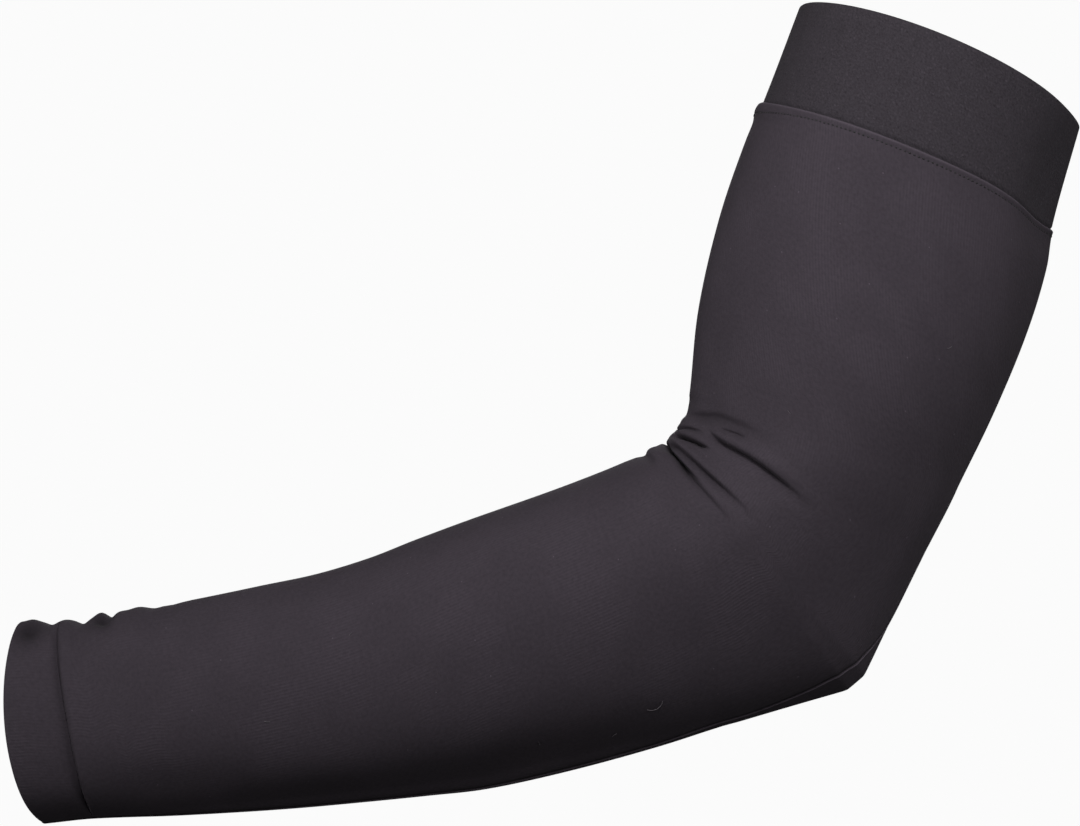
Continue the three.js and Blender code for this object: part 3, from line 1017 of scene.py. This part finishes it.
def add_stitch(bm, at, turn, length, width):
    """Adds one stitch: a slim rounded bead of thread lying round the sleeve."""
    along, around, out = cloth_axes(at, turn)
    spot = Vector(cloth_point(np.array([at]), np.array([turn]), np.array([sleeve_face(at, turn)]))[0])
    axes = Matrix((around, along, out)).transposed().to_4x4()
    place = Matrix.Translation(spot - out * width * STITCH_SINK) @ axes
    place = place @ Matrix.Diagonal((length, width, width, 1)) @ Matrix.Rotation(math.pi / 2, 4, "Y")
    bmesh.ops.create_uvsphere(bm, u_segments=6, v_segments=5, radius=0.5, matrix=place)


class ARMWARMER_OT_lint(bpy.types.Operator):
    """Lay a few loose fibres on the knit"""

    bl_idname = "armwarmer.lint"
    bl_label = "Lint"

    def execute(self, context):
        colours = context.scene.arm_warmer_colours
        bm = bmesh.new()
        for fibre in LINT_FIBRES:
            add_fibre(bm, fibre)
        lint = new_object("lint_fibres", bm, piece_collection())
        lint.data.materials.append(cotton_lint(colours.lint))
        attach(lint, "root")
        return {"FINISHED"}


# A real fibre is about 0.03 mm thick. It is drawn thicker so that it shows.
FIBRE_RADIUS = 0.09 * MM


def add_fibre(bm, fibre):
    """Adds one bent fibre: a ring of thread spun about an axis that stands out of the cloth."""
    along, around, out = cloth_axes(fibre.at, fibre.turn)
    spot = Vector(cloth_point(np.array([float(fibre.at)]), np.array([float(fibre.turn)]), np.zeros(1))[0])
    heading = math.radians(fibre.heading)
    forward = along * math.cos(heading) + around * math.sin(heading)
    side = out.cross(forward)
    bend = math.radians(fibre.bend)
    radius = fibre.length * MM / bend
    start = spot + out * FIBRE_RADIUS * 2
    ring = Matrix.Translation(start) @ Matrix((side, out, forward)).transposed().to_4x4()
    made = bmesh.ops.create_circle(bm, cap_ends=True, segments=6, radius=FIBRE_RADIUS, matrix=ring)
    bmesh.ops.spin(
        bm, geom=list(made["verts"][0].link_faces), cent=start + side * radius, axis=out, angle=bend,
        steps=8, use_merge=False,
    )


class ARMWARMER_OT_stage(bpy.types.Operator):
    """Make the pale floor and backdrop, the soft lights and the camera"""

    bl_idname = "armwarmer.stage"
    bl_label = "Stage"

    def execute(self, context):
        make_backdrop(context.scene.arm_warmer_colours.backdrop)
        for light in STUDIO_LIGHTS:
            make_light(light)
        make_world(context.scene)
        make_camera(context.scene)
        context.scene.view_settings.view_transform = "Standard"
        return {"FINISHED"}


# The stage, in metres
FLOOR_DROP = 0.06
BACKDROP_RADIUS = 3.2
BACKDROP_CURVE = 1.6
BACKDROP_HEIGHT = 4.0
BACKDROP_STEPS = 16
BACKDROP_SIDES = 96

# Each light's place, its size in metres and its power in watts
Light = namedtuple("Light", "name place size power")
LIGHT_AIM = (-0.13, 0, -0.12)
STUDIO_LIGHTS = (
    Light("front_left_softbox", (-0.65, -1.11, 0.32), 0.2, 1.75),
    Light("left_softbox", (-1.07, -0.79, 0.32), 0.2, 1.75),
    Light("far_left_softbox", (-1.31, -0.32, 0.32), 0.2, 1.2),
    Light("left_fill", (-1.39, -0.34, -0.12), 0.2, 0.36),
    Light("low_left_fill", (-1.27, -0.3, -0.67), 0.2, 1.0),
    Light("right_softbox", (1.05, -0.32, 0.32), 0.2, 1.1),
    Light("low_right_rim", (1.03, 0.2, -0.67), 0.2, 1.58),
    Light("near_upper_softbox", (-0.1, -0.45, 0.25), 0.2, 1.0),
    Light("near_right_softbox", (0.08, -0.53, 0.08), 0.2, 0.64),
    Light("back_softbox", (0.1, 1.2, 0.1), 0.8, 5.0),
)
WORLD_STRENGTH = 0.005


def make_backdrop(colour):
    """A round bowl of paper: a flat floor that curves up into a wall, spun about the upright."""
    low, high = CAD_BOX
    floor = low.z - FLOOR_DROP
    middle = (low + high) / 2
    bm = bmesh.new()
    corner = BACKDROP_RADIUS - BACKDROP_CURVE
    profile = [(0.0, floor), (corner, floor)]
    for step in range(1, BACKDROP_STEPS + 1):
        angle = math.pi / 2 * step / BACKDROP_STEPS
        out, up = BACKDROP_CURVE * math.sin(angle), BACKDROP_CURVE * (1 - math.cos(angle))
        profile.append((corner + out, floor + up))
    profile.append((BACKDROP_RADIUS, floor + BACKDROP_HEIGHT))
    verts = [bm.verts.new((middle.x + x, middle.y, z)) for x, z in profile]
    edges = [bm.edges.new(pair) for pair in zip(verts, verts[1:])]
    bmesh.ops.spin(
        bm, geom=verts + edges, cent=(middle.x, middle.y, 0), axis=(0, 0, 1), angle=2 * math.pi,
        steps=BACKDROP_SIDES, use_merge=True,
    )
    bmesh.ops.remove_doubles(bm, verts=bm.verts, dist=1e-6)
    backdrop = new_object("paper_backdrop", bm, bpy.context.scene.collection)
    backdrop.data.materials.append(studio_paper(colour))
    backdrop.visible_diffuse = False
    backdrop.visible_glossy = False
    backdrop.visible_shadow = False


def make_light(light):
    """A square soft light aimed at the arm warmer, itself out of the camera's sight."""
    data = bpy.data.lights.new(light.name, "AREA")
    data.shape = "SQUARE"
    data.size = light.size
    data.energy = light.power
    lamp = bpy.data.objects.new(light.name, data)
    bpy.context.scene.collection.objects.link(lamp)
    lamp.location = light.place
    aim = Vector(LIGHT_AIM) - Vector(light.place)
    lamp.rotation_euler = aim.to_track_quat("-Z", "Y").to_euler()
    lamp.visible_camera = False
    lamp.light_linking.receiver_collection = piece_collection()


def make_world(scene):
    """A dim even light from all round."""
    world = bpy.data.worlds.new("Dim studio")
    world.use_nodes = True
    background = world.node_tree.nodes["Background"]
    background.inputs["Color"].default_value = (1, 1, 1, 1)
    background.inputs["Strength"].default_value = WORLD_STRENGTH
    scene.world = world


# The camera stands level, straight in front of the sleeve's bend
CAMERA_PLACE = (-0.1355, -0.884, -0.1175)
CAMERA_LENS = 86.7
CAMERA_SENSOR = 36.0


def make_camera(scene):
    """The camera at the photograph's angle and distance."""
    data = bpy.data.cameras.new("camera")
    data.lens = CAMERA_LENS
    data.sensor_width = CAMERA_SENSOR
    camera = bpy.data.objects.new("camera", data)
    scene.collection.objects.link(camera)
    camera.location = CAMERA_PLACE
    camera.rotation_euler = (math.pi / 2, 0, 0)
    scene.camera = camera


class ARMWARMER_PT_panel(bpy.types.Panel):
    """Lists the arm warmer's pieces, sizes and colours"""

    bl_idname = "ARMWARMER_PT_panel"
    bl_label = "Arm Warmer"
    bl_space_type = "VIEW_3D"
    bl_region_type = "UI"
    bl_category = "Arm Warmer"

    def draw(self, context):
        for operator in OPERATORS:
            self.layout.operator(operator.bl_idname)
        for group in (context.scene.arm_warmer_sizes, context.scene.arm_warmer_colours):
            box = self.layout.box()
            for name in group.bl_rna.properties.keys():
                if name not in ("rna_type", "name"):
                    box.prop(group, name)


OPERATORS = (
    ARMWARMER_OT_stage,
    ARMWARMER_OT_sleeve,
    ARMWARMER_OT_gripper_band,
    ARMWARMER_OT_wrist_cuff,
    ARMWARMER_OT_topstitching,
    ARMWARMER_OT_lint,
)
CLASSES = (ArmWarmerSizes, ArmWarmerColours, *OPERATORS, ARMWARMER_PT_panel)


def register():
    for cls in CLASSES:
        bpy.utils.register_class(cls)
    bpy.types.Scene.arm_warmer_sizes = PointerProperty(type=ArmWarmerSizes)
    bpy.types.Scene.arm_warmer_colours = PointerProperty(type=ArmWarmerColours)


def unregister():
    del bpy.types.Scene.arm_warmer_colours
    del bpy.types.Scene.arm_warmer_sizes
    for cls in reversed(CLASSES):
        bpy.utils.unregister_class(cls)


def main():
    register()
    bpy.ops.armwarmer.stage()
    bpy.ops.armwarmer.sleeve()
    bpy.ops.armwarmer.gripper_band()
    bpy.ops.armwarmer.wrist_cuff()
    bpy.ops.armwarmer.topstitching()
    bpy.ops.armwarmer.lint()


if __name__ == "__main__":
    main()
